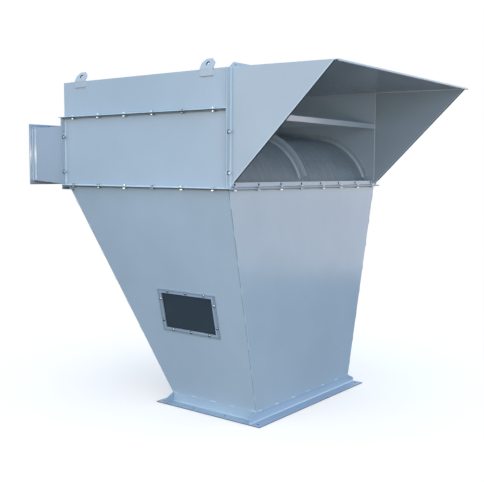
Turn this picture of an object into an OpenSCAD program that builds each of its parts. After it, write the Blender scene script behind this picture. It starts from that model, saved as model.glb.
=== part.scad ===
// Static separator: a bolted sheet-metal casing with a curved screen,
// a slanting outlet hood, a flanged inlet duct and a hopper on an angle frame.
// The origin is the centre of the outlet frame's underside, +Z up, hood on +X.

/* [Casing] */
// Length of the casing from back to front
casing_l = 1200; // [1100:10:1500]
// Width of the casing
casing_w = 1450; // [1200:10:1800]
// Height of the middle section
casing_h = 380; // [365:5:460]
// Height of the top section
top_h = 195; // [120:5:400]
// Thickness of the wall sheet
sheet_t = 3; // [2:0.5:4]
// Width of the folded flanges
flange_w = 25; // [22:1:40]
// Thickness of each folded flange
flange_t = 4; // [3:0.5:6]
// Height of the cross bar under the top section's open front
bar_h = 30; // [20:1:60]
// Depth of the cross bar's flat leg
bar_d = 30; // [20:1:60]
// Diameter of the spare holes in the corner flanges
spare_hole_d = 7; // [4:0.5:10]

/* [Front lip] */
// Height of the lip across the outlet opening
lip_h = 30; // [26:1:60]
// Depth of the sill behind the lip
sill_d = 75; // [65:1:120]
// Diameter of the holes in the lip
lip_hole_d = 12; // [5:0.5:14]
// Height of those holes above the joint
lip_hole_z = 19; // [12:1:22]
// Holes in a row across the front
front_holes = 8; // [4:1:10]
// Distance from the row's end hole to the casing side
front_hole_edge = 42.5; // [38:0.5:60]

/* [Hood] */
// Reach of the hood in front of the casing
hood_l = 575; // [300:5:800]
// Fall of the hood roof over its reach
hood_fall = 10; // [0:1:60]
// Overhang of the roof sheet past the side panels
eave_l = 15; // [8:1:40]
// Depth of the turned-down front edge
eave_h = 10; // [6:1:30]
// Height of the upstanding roof joint
upstand_h = 25; // [22:1:40]
// Length of the cut corner of the roof joint
upstand_cut = 30; // [10:1:35]
// Diameter of the holes in the roof joint
upstand_hole_d = 8; // [4:0.5:10]

/* [Hopper] */
// Height of the hopper between the outlet frame and the casing
hopper_h = 1160; // [900:10:1600]
// Length of the outlet over the hopper walls
outlet_l = 590; // [450:10:750]
// Width of the outlet over the hopper walls
outlet_w = 940; // [700:10:1100]
// Distance of the outlet behind the casing front
outlet_setback = 15; // [5:1:60]
// Distance of the hopper's back wall from the casing back
back_ledge = 36; // [20:1:50]
// Width of the hollow rail under the casing back
rail_w = 70; // [60:1:90]
// Height of the rail
rail_h = 20; // [15:1:40]
// Wall of the rail
rail_t = 3; // [2:0.5:5]

/* [Outlet frame] */
// Height of the angle frame's upright leg
leg_h = 55; // [40:1:80]
// Width of the angle frame's flat leg
leg_w = 65; // [45:1:90]
// Thickness of the angle frame
angle_t = 5; // [4:0.5:8]
// Fall of the upright leg's cut ends
leg_cut = 29; // [15:1:32]
// Diameter of the bolt holes in the flat legs
base_hole_d = 14; // [9:0.5:18]
// Bolt holes along each long flat leg
base_holes = 4; // [3:1:6]

/* [Window] */
// Length of the inspection window's frame
window_l = 400; // [300:5:500]
// Height of the window's frame
window_h = 240; // [180:5:300]
// Width of the frame's end bars
window_end_w = 23; // [16:1:45]
// Width of the frame's long bars
window_side_w = 19; // [14:1:40]
// Thickness of the frame
window_t = 6; // [3:0.5:8]
// Thickness of the pane
pane_t = 4; // [3:0.5:6]
// Distance of the window's middle behind the outlet's middle
window_back = 80; // [0:5:120]
// Distance of the window's middle down the slope from the casing
window_down = 685; // [500:5:750]

/* [Inlet] */
// Length of the inlet duct with both flanges
inlet_l = 300; // [150:5:600]
// Height of the duct at its outer end
inlet_h = 305; // [250:1:320]
// Height of the duct's floor there above the joint
inlet_z = 24; // [15:1:30]
// Step in of the duct's sides at its outer end
inlet_in = 5; // [2:1:40]
// Height of the duct where it meets the casing
throat_h = 330; // [300:1:340]
// Height of the duct's floor there above the joint
throat_z = 5; // [2:1:12]
// Diameter of the inlet flange's bolt holes
inlet_hole_d = 11; // [7:0.5:14]
// Distance of the side holes from the duct's middle height
inlet_hole_z = 96; // [60:1:110]
// Distance between neighbouring holes along the top and bottom
inlet_hole_y = 400; // [200:10:450]

/* [Screen] */
// Outer radius of the screen's curved front
screen_r = 358; // [340:1:370]
// Distance of the curve's axis behind the casing front
screen_back = 410; // [400:1:440]
// Distance of that axis under the joint
screen_drop = 78; // [60:1:95]
// Slope of the flat stretch towards the back
screen_slope = 3.8; // [2:0.1:5]
// Thickness of the perforated sheet
screen_t = 2; // [1.5:0.5:3]
// Height of the ribs on the screen against the casing sides
rib_h = 38; // [20:1:42]
// Height of the far half's flange in the middle rib
rib_mid_h = 46; // [26:1:48]
// Height of the near half's flange in the middle rib
rib_low_h = 22; // [12:1:25]
// Thickness of each rib
rib_t = 3; // [2:0.5:5]
// Angle at which the ribs end at the front, seen from the curve's axis
rib_end = 20; // [14:1:30]
// Distance of the ribs' other end from the casing back
rib_back = 12; // [8:1:40]

/* [Lifting lugs] */
// Width of a lug
lug_w = 84; // [60:1:120]
// Thickness of a lug
lug_t = 6; // [5:0.5:10]
// Height of a lug above the roof
lug_rise = 57; // [40:1:70]
// Length of a lug below the roof
lug_drop = 34; // [25:1:60]
// Cut of a lug's upper corners
lug_cut = 23; // [10:1:27]
// Lean of the upper part over the roof
lug_lean = 30; // [0:1:40]
// Diameter of the lifting hole
lug_hole_d = 22; // [12:1:25]
// Distance of a lug's middle from the casing's end
lug_inset = 141; // [80:1:250]

/* [Hidden] */
$fn = 48;
// Length that reaches past the whole machine, for cutting
far_off = 4 * (casing_l + casing_w);
// Overlap that makes two stretches of one sheet a single piece
lap = 1;
half_w = casing_w / 2;
half_in = half_w - sheet_t;
front_x = outlet_l / 2 + outlet_setback;
back_x = front_x - casing_l;
joint_z = leg_h + hopper_h;
mid_z = joint_z + casing_h;
roof_z = mid_z + top_h;
tip_x = front_x + hood_l;
tip_z = roof_z - hood_fall;
// Top of the hopper's back wall
ledge_x = back_x + back_ledge;
// Lean of the hopper's long walls
wall_lean = atan((half_w - outlet_w / 2) / hopper_h);
hole_mid_w = (outlet_w + leg_w) / 2;
hole_mid_l = (outlet_l + leg_w) / 2;
inlet_x = back_x - inlet_l;
plate_x = back_x - flange_t;
mouth_x = inlet_x + flange_t;
screen_x = front_x - screen_back;
screen_z = joint_z - screen_drop;

steel = "#aebdca";
bright = "#b9c6d1";
shade = "#8b98a4";
glass = [0.2, 0.26, 0.3, 0.6];

// A profile drawn in X and Z, given thickness along Y from y0 to y1
module along_y(y0, y1) {
  translate([0, y1, 0])
    rotate([90, 0, 0])
      linear_extrude(height = y1 - y0) children();
}

// A profile drawn in Y and Z, given length along X from x0 to x1
module along_x(x0, x1) {
  translate([x0, 0, 0])
    rotate([90, 0, 90])
      linear_extrude(height = x1 - x0) children();
}

// A box between two opposite corners
module block(low, high) {
  translate(low) cube(high - low);
}

// A hole along Z, Y or X that goes through whatever it is cut from
module hole_z(x, y, z, d) {
  translate([x, y, z]) cylinder(h = 4 * angle_t, d = d, center = true);
}
module hole_y(x, y, z, d) {
  translate([x, y, z]) rotate([90, 0, 0]) cylinder(h = 4 * sheet_t, d = d, center = true);
}
module hole_x(x, y, z, d) {
  translate([x, y, z]) rotate([0, 90, 0]) cylinder(h = 4 * flange_t, d = d, center = true);
}

// The far side mirrors the near side
module far_side() {
  mirror([0, 1, 0]) children();
}

// Outline of the hopper seen from the side, t inside its front and back faces
module hopper_side_shape(t) {
  back_run = outlet_l / 2 + ledge_x;
  back_skin = t * sqrt(1 + pow(back_run / hopper_h, 2));
  front_skin = t * sqrt(1 + pow(outlet_setback / hopper_h, 2));
  polygon([
    [ledge_x + back_skin, joint_z],
    [front_x - front_skin, joint_z],
    [outlet_l / 2 - front_skin, leg_h],
    [-outlet_l / 2 + back_skin, leg_h]
  ]);
}

// Outline of the hopper seen from the front, t inside its near and far faces
module hopper_end_shape(t) {
  skin = t / cos(wall_lean);
  polygon([
    [-half_w + skin, joint_z],
    [half_w - skin, joint_z],
    [outlet_w / 2 - skin, leg_h],
    [-outlet_w / 2 + skin, leg_h]
  ]);
}

// One angle of the outlet frame's ends, with its upright leg cut to the corner
module outlet_frame_end() {
  reach = outlet_w / 2 + leg_w;
  difference() {
    union() {
      along_x(outlet_l / 2 - angle_t, outlet_l / 2)
        polygon([
          [-reach, 0], [reach, 0], [reach, leg_h - leg_cut],
          [outlet_w / 2, leg_h], [-outlet_w / 2, leg_h], [-reach, leg_h - leg_cut]
        ]);
      block([outlet_l / 2 - angle_t, -reach, 0], [outlet_l / 2 + leg_w, reach, angle_t]);
    }
    for (side = [-1, 1])
      hole_z(hole_mid_l, side * hole_mid_w, angle_t / 2, base_hole_d);
  }
}

// One angle of the outlet frame's long sides, between the end angles
module outlet_frame_side() {
  reach = outlet_l / 2 - angle_t;
  pitch = 2 * hole_mid_l / (base_holes - 1);
  difference() {
    union() {
      block([-reach, -outlet_w / 2, 0], [reach, -outlet_w / 2 + angle_t, leg_h]);
      block([-reach, -outlet_w / 2 - leg_w, 0], [reach, -outlet_w / 2 + angle_t, angle_t]);
    }
    for (i = [1 : base_holes - 2])
      hole_z(-hole_mid_l + i * pitch, -hole_mid_w, angle_t / 2, base_hole_d);
  }
}

// Places something drawn flat on the near hopper wall's outer face at the window
module on_window() {
  translate([-window_back, -half_w, joint_z])
    rotate([90 + wall_lean, 0, 0])
      translate([0, -window_down, 0]) children();
}

// A flat ring or plate of the window, from height z0 above the wall
module window_plate(l, h, z0, t) {
  translate([-l / 2, -h / 2, z0]) cube([l, h, t]);
}

module rail_space() {
  block([back_x, -half_w - flange_w, joint_z - flange_t - rail_h],
        [back_x + rail_w, half_w + flange_w, joint_z - flange_t]);
}

// A long hopper wall with its folded top flange
module hopper_long_wall() {
  difference() {
    union() {
      intersection() {
        along_y(-half_w, half_w) hopper_side_shape(0);
        along_x(back_x, front_x)
          difference() {
            hopper_end_shape(0);
            hopper_end_shape(sheet_t);
            translate([0, leg_h - lap]) square([far_off, hopper_h + 2 * lap]);
          }
      }
      block([back_x, -half_w - flange_w, joint_z - flange_t], [front_x, -half_w + sheet_t, joint_z]);
    }
    rail_space();
  }
}

module hopper_near_wall() {
  color(steel)
    difference() {
      hopper_long_wall();
      on_window()
        window_plate(window_l - 2 * window_end_w, window_h - 2 * window_side_w, -4 * sheet_t, 8 * sheet_t);
    }
}

module hopper_far_wall() {
  color(steel) far_side() hopper_long_wall();
}

module hopper_front_wall() {
  color(steel)
    union() {
      intersection() {
        along_x(back_x, front_x) hopper_end_shape(sheet_t);
        along_y(-half_w, half_w)
          difference() {
            hopper_side_shape(0);
            hopper_side_shape(sheet_t);
            translate([-far_off, leg_h - lap]) square([far_off, hopper_h + 2 * lap]);
          }
      }
      block([front_x - sheet_t, -half_in, joint_z - flange_t], [front_x + flange_w, half_in, joint_z]);
      block([front_x, -half_w - flange_w, joint_z - flange_t], [front_x + flange_w, half_w + flange_w, joint_z]);
    }
}

module hopper_back_wall() {
  color(steel)
    difference() {
      intersection() {
        along_x(back_x, front_x) hopper_end_shape(sheet_t);
        along_y(-half_w, half_w)
          difference() {
            hopper_side_shape(0);
            hopper_side_shape(sheet_t);
            translate([0, leg_h - lap]) square([far_off, hopper_h + 2 * lap]);
          }
      }
      block([back_x, -half_w, joint_z - flange_t - rail_h], [front_x, half_w, joint_z + lap]);
    }
}

// Hollow rail across the back, which carries the casing's back edge
module hopper_back_rail() {
  top = joint_z - flange_t;
  color(shade)
    difference() {
      rail_space();
      block([back_x + rail_t, -half_w - flange_w - lap, top - rail_h + rail_t],
            [back_x + rail_w - rail_t, half_w + flange_w + lap, top - rail_t]);
    }
}

module window_frame() {
  color(bright)
    on_window()
      difference() {
        window_plate(window_l, window_h, 0, window_t);
        window_plate(window_l - 2 * window_end_w, window_h - 2 * window_side_w, -window_t, 3 * window_t);
      }
}

// The pane lies against the wall's inner face, behind the opening
module window_pane() {
  color(glass)
    on_window() window_plate(window_l - 2 * pane_t, window_h - 2 * pane_t, -sheet_t - pane_t, pane_t);
}

// A long wall of one casing section from z0 to z1, with its outward flanges: flat ones
// whose undersides are at flat_zs, upright ones that start at upright_xs. The flat ones
// run on past the back corner by back_fold
module section_side(z0, z1, flat_zs, upright_xs, back_fold) {
  out = -half_w - flange_w;
  block([back_x, -half_w, z0], [front_x, -half_in, z1]);
  for (z = flat_zs)
    block([back_x - back_fold, out, z], [front_x, -half_w + lap, z + flange_t]);
  for (x = upright_xs)
    block([x, out, z0], [x + flange_t, -half_w + lap, z1]);
}

module casing_side() {
  difference() {
    section_side(joint_z, mid_z, [joint_z, mid_z - flange_t], [back_x, front_x - flange_t], 0);
    for (share = [0.3, 0.8])
      hole_x(back_x, -half_w - flange_w / 2, joint_z + share * casing_h, spare_hole_d);
  }
}

module top_side() {
  section_side(mid_z, roof_z - sheet_t, [mid_z], [front_x - flange_t], flange_w);
}

module casing_near_panel() {
  color(steel) casing_side();
}

module casing_far_panel() {
  color(steel) far_side() casing_side();
}

// The lip across the opening, with its bolting flange in front and its sill behind.
// The flange's corners lie in front of the upright flanges
module front_lip() {
  pitch = (casing_w - 2 * front_hole_edge) / (front_holes - 1);
  color(bright)
    difference() {
      union() {
        block([front_x - sill_d, -half_in, joint_z], [front_x + flange_w, half_in, joint_z + flange_t]);
        block([front_x + flange_t + lap, -half_w - flange_w, joint_z],
              [front_x + flange_w, half_w + flange_w, joint_z + flange_t]);
        block([front_x - sheet_t, -half_in, joint_z], [front_x, half_in, joint_z + lip_h]);
      }
      for (i = [0 : front_holes - 1])
        hole_x(front_x, -half_w + front_hole_edge + i * pitch, joint_z + lip_hole_z, lip_hole_d);
    }
}

module front_cross_bar() {
  color(bright)
    union() {
      block([front_x - sheet_t, -half_in, mid_z - bar_h], [front_x, half_in, mid_z]);
      block([front_x - bar_d, -half_in, mid_z - sheet_t], [front_x, half_in, mid_z]);
    }
}

// Outline of the inlet duct seen from above, t inside its sides
module inlet_plan(t) {
  polygon([
    [plate_x, -half_w + t], [plate_x, half_w - t],
    [mouth_x, half_w - inlet_in - t], [mouth_x, -half_w + inlet_in + t]
  ]);
}

// Outline of the inlet duct seen from the side, t inside its roof and floor
module inlet_side(t) {
  polygon([
    [plate_x, joint_z + throat_z + t], [plate_x, joint_z + throat_z + throat_h - t],
    [mouth_x, joint_z + inlet_z + inlet_h - t], [mouth_x, joint_z + inlet_z + t]
  ]);
}

module inlet_wall() {
  intersection() {
    along_y(-half_w, half_w) inlet_side(0);
    translate([0, 0, joint_z])
      linear_extrude(height = throat_z + throat_h)
        difference() {
          inlet_plan(0);
          inlet_plan(sheet_t);
          translate([-far_off, 0]) square([2 * far_off, far_off]);
        }
  }
}

module inlet_near_wall() {
  color(steel) inlet_wall();
}

module inlet_far_wall() {
  color(steel) far_side() inlet_wall();
}

// The half of the duct's roof and floor skins from z0 up to z1
module inlet_skin(z0, z1) {
  intersection() {
    translate([0, 0, joint_z]) linear_extrude(height = throat_z + throat_h) inlet_plan(sheet_t);
    along_y(-half_w, half_w)
      difference() {
        inlet_side(0);
        inlet_side(sheet_t);
        translate([-far_off, z0]) square([2 * far_off, z1 - z0]);
      }
  }
}

module inlet_roof() {
  color(steel) inlet_skin(joint_z - lap, joint_z + throat_z + throat_h / 2);
}

module inlet_floor() {
  color(steel) inlet_skin(joint_z + throat_z + throat_h / 2, mid_z);
}

// Plate that closes the casing's back around the duct. It is folded out under the
// top section's flange and in over the rail
module inlet_mounting_plate() {
  color(steel)
    difference() {
      union() {
        block([plate_x, -half_w - flange_w, joint_z], [back_x, half_w + flange_w, mid_z]);
        block([back_x - flange_w, -half_w + lap, mid_z - flange_t], [back_x, half_w - lap, mid_z]);
        block([plate_x, -half_in, joint_z - flange_t], [back_x + rail_w - rail_t, half_in, joint_z]);
      }
      block([plate_x - lap, -half_in, joint_z + throat_z + sheet_t],
            [back_x + lap, half_in, joint_z + throat_z + throat_h - sheet_t]);
      for (side = [-1, 1], share = [0.3, 0.8])
        hole_x(back_x, side * (half_w + flange_w / 2), joint_z + share * casing_h, spare_hole_d);
    }
}

module inlet_flange() {
  out_y = half_w - inlet_in + flange_w;
  low = joint_z + inlet_z;
  high = low + inlet_h;
  color(bright)
    difference() {
      block([inlet_x, -out_y, low - flange_w], [mouth_x, out_y, high + flange_w]);
      block([inlet_x - lap, -half_in + inlet_in, low + sheet_t],
            [mouth_x + lap, half_in - inlet_in, high - sheet_t]);
      for (side = [-1, 1], z = [-inlet_hole_z, inlet_hole_z])
        hole_x(inlet_x, side * (out_y - flange_w / 2), (low + high) / 2 + z, inlet_hole_d);
      for (z = [low - flange_w / 2, high + flange_w / 2], i = [-1.5 : 1.5])
        hole_x(inlet_x, i * inlet_hole_y, z, inlet_hole_d);
    }
}

module top_near_panel() {
  color(steel) top_side();
}

module top_far_panel() {
  color(steel) far_side() top_side();
}

module top_back_panel() {
  color(steel)
    union() {
      block([back_x, -half_in, mid_z], [back_x + sheet_t, half_in, roof_z - sheet_t]);
      block([back_x - flange_w, -half_w + lap, mid_z], [back_x, half_w - lap, mid_z + flange_t]);
    }
}

// One sheet of the upstanding roof joint, from x0 to x1
module upstand(x0, x1) {
  pitch = (casing_w - 2 * front_hole_edge) / (front_holes - 1);
  difference() {
    along_x(x0, x1)
      polygon([
        [-half_w, roof_z - sheet_t], [half_w, roof_z - sheet_t], [half_w, roof_z],
        [half_w - upstand_cut, roof_z + upstand_h], [-half_w + upstand_cut, roof_z + upstand_h],
        [-half_w, roof_z]
      ]);
    for (i = [0 : front_holes - 1])
      hole_x(front_x, -half_w + front_hole_edge + i * pitch, roof_z + upstand_h / 2, upstand_hole_d);
  }
}

module roof_panel() {
  color(steel)
    union() {
      block([back_x, -half_w, roof_z - sheet_t], [front_x, half_w, roof_z]);
      upstand(front_x - sheet_t, front_x);
    }
}

// A hood side with the upright flange that bolts it to the casing
module hood_side() {
  along_y(-half_w, -half_in)
    polygon([
      [front_x, joint_z], [front_x, roof_z - sheet_t],
      [tip_x, tip_z - sheet_t]
    ]);
  block([front_x, -half_w - flange_w, joint_z], [front_x + flange_t, -half_w + lap, roof_z - sheet_t]);
}

module hood_near_side() {
  color(steel) hood_side();
}

module hood_far_side() {
  color(steel) far_side() hood_side();
}

module hood_roof() {
  edge_x = tip_x + eave_l;
  edge_z = tip_z - eave_l * hood_fall / hood_l;
  color(steel)
    union() {
      along_y(-half_w, half_w)
        polygon([
          [front_x, roof_z - sheet_t], [front_x, roof_z], [edge_x, edge_z],
          [edge_x, edge_z - eave_h], [edge_x - sheet_t, edge_z - eave_h],
          [edge_x - sheet_t, edge_z - sheet_t], [tip_x, tip_z - sheet_t]
        ]);
      upstand(front_x, front_x + sheet_t);
    }
}

// Cross-section of the screen between radius r0 and r1 of its curve,
// from the sill, over the curve and up the flat stretch to the casing back
module screen_shape(r0, r1) {
  intersection() {
    translate([screen_x, screen_z])
      rotate(-screen_slope)
        union() {
          difference() {
            circle(r = r1, $fn = 120);
            circle(r = r0, $fn = 120);
            translate([-far_off, -far_off]) square([far_off, 2 * far_off]);
          }
          translate([-casing_l, r0]) square([casing_l, r1 - r0]);
        }
    translate([back_x, joint_z + flange_t])
      square([casing_l - sheet_t, casing_h + top_h - flange_t - sheet_t]);
  }
}

module screen_half() {
  along_y(-half_in, 0) screen_shape(screen_r - screen_t, screen_r);
}

module screen_near_half() {
  color(shade) screen_half();
}

module screen_far_half() {
  color(shade) far_side() screen_half();
}

// Cross-section of a rib of height h, which ends short of the lip and of the back
module rib_shape(h) {
  intersection() {
    screen_shape(screen_r, screen_r + h);
    translate([screen_x, screen_z])
      rotate(rib_end) translate([-far_off, 0]) square([2 * far_off, far_off]);
    translate([back_x + rib_back, 0]) square(far_off);
  }
}

module wall_rib() {
  along_y(-half_in, -half_in + rib_t) rib_shape(rib_h);
}

module screen_near_rib() {
  color(shade) wall_rib();
}

module screen_far_rib() {
  color(shade) far_side() wall_rib();
}

// The two halves' end flanges, bolted back to back, the far one standing higher
module screen_centre_rib() {
  color(shade)
    union() {
      along_y(-rib_t, lap) rib_shape(rib_low_h);
      along_y(0, rib_t) rib_shape(rib_mid_h);
    }
}

// A lifting lug on the near side with its middle at x
module lug(x) {
  // The bend sits just above the roof, so the leaning part clears its edge
  bend = sheet_t;
  flat = lug_w / 2;
  translate([x, -half_w, roof_z])
    union() {
      block([-flat, -lug_t, -lug_drop], [flat, 0, bend]);
      translate([0, -lug_t, bend])
        rotate([-lug_lean, 0, 0])
          difference() {
            along_y(0, lug_t)
              polygon([
                [-flat, 0], [flat, 0], [flat, lug_rise - lug_cut], [flat - lug_cut, lug_rise],
                [-flat + lug_cut, lug_rise], [-flat, lug_rise - lug_cut]
              ]);
            translate([0, lug_t / 2, lug_rise / 2])
              rotate([90, 0, 0]) cylinder(h = 4 * lug_t, d = lug_hole_d, center = true);
          }
    }
}

module lug_near_back() {
  color(bright) lug(back_x + lug_inset);
}

module lug_near_front() {
  color(bright) lug(front_x - lug_inset);
}

module lug_far_back() {
  color(bright) far_side() lug(back_x + lug_inset);
}

module lug_far_front() {
  color(bright) far_side() lug(front_x - lug_inset);
}

color(steel) outlet_frame_end();  // outlet_frame_front
color(steel) mirror([1, 0, 0]) outlet_frame_end();  // outlet_frame_back
color(steel) outlet_frame_side();  // outlet_frame_near
color(steel) far_side() outlet_frame_side();  // outlet_frame_far
hopper_near_wall();
hopper_far_wall();
hopper_front_wall();
hopper_back_wall();
hopper_back_rail();
window_frame();
window_pane();
casing_near_panel();
casing_far_panel();
front_lip();
front_cross_bar();
inlet_mounting_plate();
inlet_near_wall();
inlet_far_wall();
inlet_roof();
inlet_floor();
inlet_flange();
top_near_panel();
top_far_panel();
top_back_panel();
roof_panel();
hood_near_side();
hood_far_side();
hood_roof();
screen_near_half();
screen_far_half();
screen_near_rib();
screen_centre_rib();
screen_far_rib();
lug_near_back();
lug_near_front();
lug_far_back();
lug_far_front();
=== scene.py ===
import math
import random

import bmesh
import bpy
from mathutils import Matrix, Vector


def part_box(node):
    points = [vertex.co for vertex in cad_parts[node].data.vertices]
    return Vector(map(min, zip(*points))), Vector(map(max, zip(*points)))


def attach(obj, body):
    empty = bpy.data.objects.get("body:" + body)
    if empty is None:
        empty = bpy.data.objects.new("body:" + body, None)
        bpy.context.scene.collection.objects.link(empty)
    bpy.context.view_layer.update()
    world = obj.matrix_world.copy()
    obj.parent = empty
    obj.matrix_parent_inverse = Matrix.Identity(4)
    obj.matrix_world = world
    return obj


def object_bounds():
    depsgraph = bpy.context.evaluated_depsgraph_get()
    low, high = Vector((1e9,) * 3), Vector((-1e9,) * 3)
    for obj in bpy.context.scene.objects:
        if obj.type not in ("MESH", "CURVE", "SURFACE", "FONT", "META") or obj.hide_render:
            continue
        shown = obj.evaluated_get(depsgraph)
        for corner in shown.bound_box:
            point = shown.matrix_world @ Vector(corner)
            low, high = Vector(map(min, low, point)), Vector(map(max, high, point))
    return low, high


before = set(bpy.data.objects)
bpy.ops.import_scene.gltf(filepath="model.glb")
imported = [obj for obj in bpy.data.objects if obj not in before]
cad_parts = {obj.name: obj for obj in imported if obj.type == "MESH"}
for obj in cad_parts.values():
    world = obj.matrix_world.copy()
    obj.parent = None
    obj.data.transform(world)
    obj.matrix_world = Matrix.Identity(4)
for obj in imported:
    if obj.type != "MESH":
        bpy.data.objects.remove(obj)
cadLow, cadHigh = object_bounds()
print("frame loaded:", len(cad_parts), "nodes")

draw = random.Random(7)  # one seeded source for every small irregularity


def boxOf(node):
    low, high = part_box(node)
    return Vector(low), Vector(high)


# Places on the machine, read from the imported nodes
casingLow, casingHigh = boxOf("casing_near_panel")
roofLow, roofHigh = boxOf("roof_panel")
ductFlangeLow, ductFlangeHigh = boxOf("inlet_flange")
railLow, railHigh = boxOf("hopper_back_rail")
endLow, endHigh = boxOf("outlet_frame_front")
windowLow, windowHigh = boxOf("window_frame")
baseHigh = boxOf("outlet_frame_near")[1]
sideHigh = boxOf("hood_near_side")[1]
lipHigh = boxOf("front_lip")[1]
plateLow = boxOf("inlet_mounting_plate")[0]
ledgeX = boxOf("hopper_back_wall")[0].x
roofEdgeZ = boxOf("hood_roof")[0].z
backX, frontX = casingLow.x, casingHigh.x
jointZ, midZ = casingLow.z, casingHigh.z
wallY, flangeY = roofHigh.y, -casingLow.y
ductMiddle = (ductFlangeLow.z + ductFlangeHigh.z) / 2
thickness = {"wall": 0.003, "flange": 0.004, "angle": 0.005}
wall, flange, angle = thickness["wall"], thickness["flange"], thickness["angle"]
sunk = 0.0003  # how far a strip reaches into the face that it lies on


def clearTree(owner):
    owner.use_nodes = True
    owner.node_tree.nodes.clear()
    return owner.node_tree


# Each input takes a number, a tuple or another node's output
def addNode(tree, kind, inputs=None, **settings):
    node = tree.nodes.new("ShaderNode" + kind)
    for name, value in settings.items():
        setattr(node, name, value)
    for name, value in (inputs or {}).items():
        if isinstance(value, bpy.types.NodeSocket):
            tree.links.new(value, node.inputs[name])
        else:
            node.inputs[name].default_value = value
    return node


def newMaterial(name):
    material = bpy.data.materials.new(name)
    tree = clearTree(material)
    shader = addNode(tree, "BsdfPrincipled")
    addNode(tree, "OutputMaterial", {"Surface": shader.outputs["BSDF"]})
    return material, tree, shader, addNode(tree, "TexCoord").outputs["Object"]


def addNoise(tree, coords, scale, detail=3.0, roughness=0.5, stretch=None):
    if stretch:
        coords = addNode(tree, "Mapping", {"Vector": coords, "Scale": stretch}).outputs["Vector"]
    look = {"Vector": coords, "Scale": scale, "Detail": detail, "Roughness": roughness}
    return addNode(tree, "TexNoise", look).outputs["Fac"]


def addRange(tree, value, fromLow, fromHigh, toLow, toHigh):
    limits = {"From Min": fromLow, "From Max": fromHigh, "To Min": toLow, "To Max": toHigh}
    return addNode(tree, "MapRange", {"Value": value, **limits}, clamp=True).outputs["Result"]


def addMath(tree, kind, first, second=None):
    inputs = {0: first} if second is None else {0: first, 1: second}
    return addNode(tree, "Math", inputs, operation=kind).outputs["Value"]


def addProduct(tree, first, second):
    return addMath(tree, "MULTIPLY", first, second)


# A colour mix keeps its two colours in sockets 6 and 7 and gives the result in socket 2
def addMix(tree, factor, first, second):
    first, second = ((*value, 1.0) if isinstance(value, tuple) else value for value in (first, second))
    return addNode(tree, "Mix", {0: factor, 6: first, 7: second}, data_type="RGBA").outputs[2]


# A colour made lighter or darker from place to place
def addScaled(tree, colour, factor):
    inputs = {0: colour, "Scale": factor}
    return addNode(tree, "VectorMath", inputs, operation="SCALE").outputs["Vector"]


def addBump(tree, height, distance, strength, normal=None):
    inputs = {"Height": height, "Distance": distance, "Strength": strength}
    if normal is not None:
        inputs["Normal"] = normal
    return addNode(tree, "Bump", inputs).outputs["Normal"]


def addBevel(tree, radius):
    return addNode(tree, "Bevel", {"Radius": radius}, samples=6).outputs["Normal"]


def addSplit(tree, vector):
    return addNode(tree, "SeparateXYZ", {"Vector": vector}).outputs


def addOcclusion(tree, reach, samples=6, **inputs):
    return addNode(tree, "AmbientOcclusion", {"Distance": reach, **inputs}, samples=samples).outputs["AO"]


# How strongly a rounded arris would differ from the flat face, which is where paint wears and where the
# painted edge highlight goes
def addEdgeMask(tree, radius):
    flat = addNode(tree, "NewGeometry").outputs["Normal"]
    dot = addNode(tree, "VectorMath", {0: addBevel(tree, radius), 1: flat}, operation="DOT_PRODUCT")
    return addRange(tree, dot.outputs["Value"], 0.78, 0.99, 1.0, 0.0)


# Occlusion measured halfway to the sky, high on a face just under a ledge: it places the painted shadow under
# flanges
def addSkywardOcclusion(tree, reach):
    flat = addNode(tree, "NewGeometry").outputs["Normal"]
    skyward = addNode(tree, "VectorMath", {0: flat, 1: (0.0, 0.0, 0.95)}, operation="ADD")
    unit = addNode(tree, "VectorMath", {0: skyward.outputs["Vector"]}, operation="NORMALIZE")
    return addOcclusion(tree, reach, 8, Normal=unit.outputs["Vector"])


# One where value lies between two limits, and nought elsewhere
def addBand(tree, value, low, high):
    over, under = addMath(tree, "GREATER_THAN", value, low), addMath(tree, "LESS_THAN", value, high)
    return addProduct(tree, over, under)


# The cut edges of the flanges, with painted highlights and painted shadows. Depth is how far an edge's colour
# reaches in from it, split where the painted highlight meets the painted shadow, and over and under how far
# they run past the flanges
edgeLook = {
    # Painted shade for the side flanges' edges, then painted highlights for the pale edges and painted
    # shadows for the dark ones
    "upright": (0.270, 0.385, 0.480),
    "lowerEdgeHighlight": (0.560, 0.780, 0.900),
    "upperEdgeHighlight": (0.520, 0.780, 0.920),
    "frontEdgeHighlight": (0.280, 0.470, 0.700),
    "seal": (0.048, 0.068, 0.080),
    "frontEdgeShadow": (0.270, 0.300, 0.330),
    "depth": 0.0008, "lowerSplit": 0.0003, "upperSplit": 0.0016, "over": 0.0006, "under": 0.0037,
}


# A painted highlight on the upper flange's edge and a painted shadow over the lower one's, not a sealant. The
# side flanges' other edges have painted shade, a shade deeper than the panels
def addEdgeBands(tree, coords, pigment):
    place, depth = addSplit(tree, coords), edgeLook["depth"]
    onSide = addMath(tree, "GREATER_THAN", addMath(tree, "ABSOLUTE", place["Y"]), flangeY - depth)
    onFront = addBand(tree, place["X"], lipHigh.x - depth, lipHigh.x + depth)
    pigment = addMix(tree, onSide, pigment, edgeLook["upright"])
    for onEdge, joint, split, pale, dark in ((onSide, jointZ, "lowerSplit", "lowerEdgeHighlight", "seal"),
                                             (onSide, midZ, "upperSplit", "upperEdgeHighlight", "seal"),
                                             (onFront, jointZ, "lowerSplit", "frontEdgeHighlight", "frontEdgeShadow")):
        middle = joint + edgeLook[split]
        above = addBand(tree, place["Z"], middle, joint + flange + edgeLook["over"])
        below = addBand(tree, place["Z"], joint - edgeLook["under"], middle)
        for band, colour in ((above, pale), (below, dark)):
            pigment = addMix(tree, addProduct(tree, onEdge, band), pigment, edgeLook[colour])
    return pigment
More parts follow.
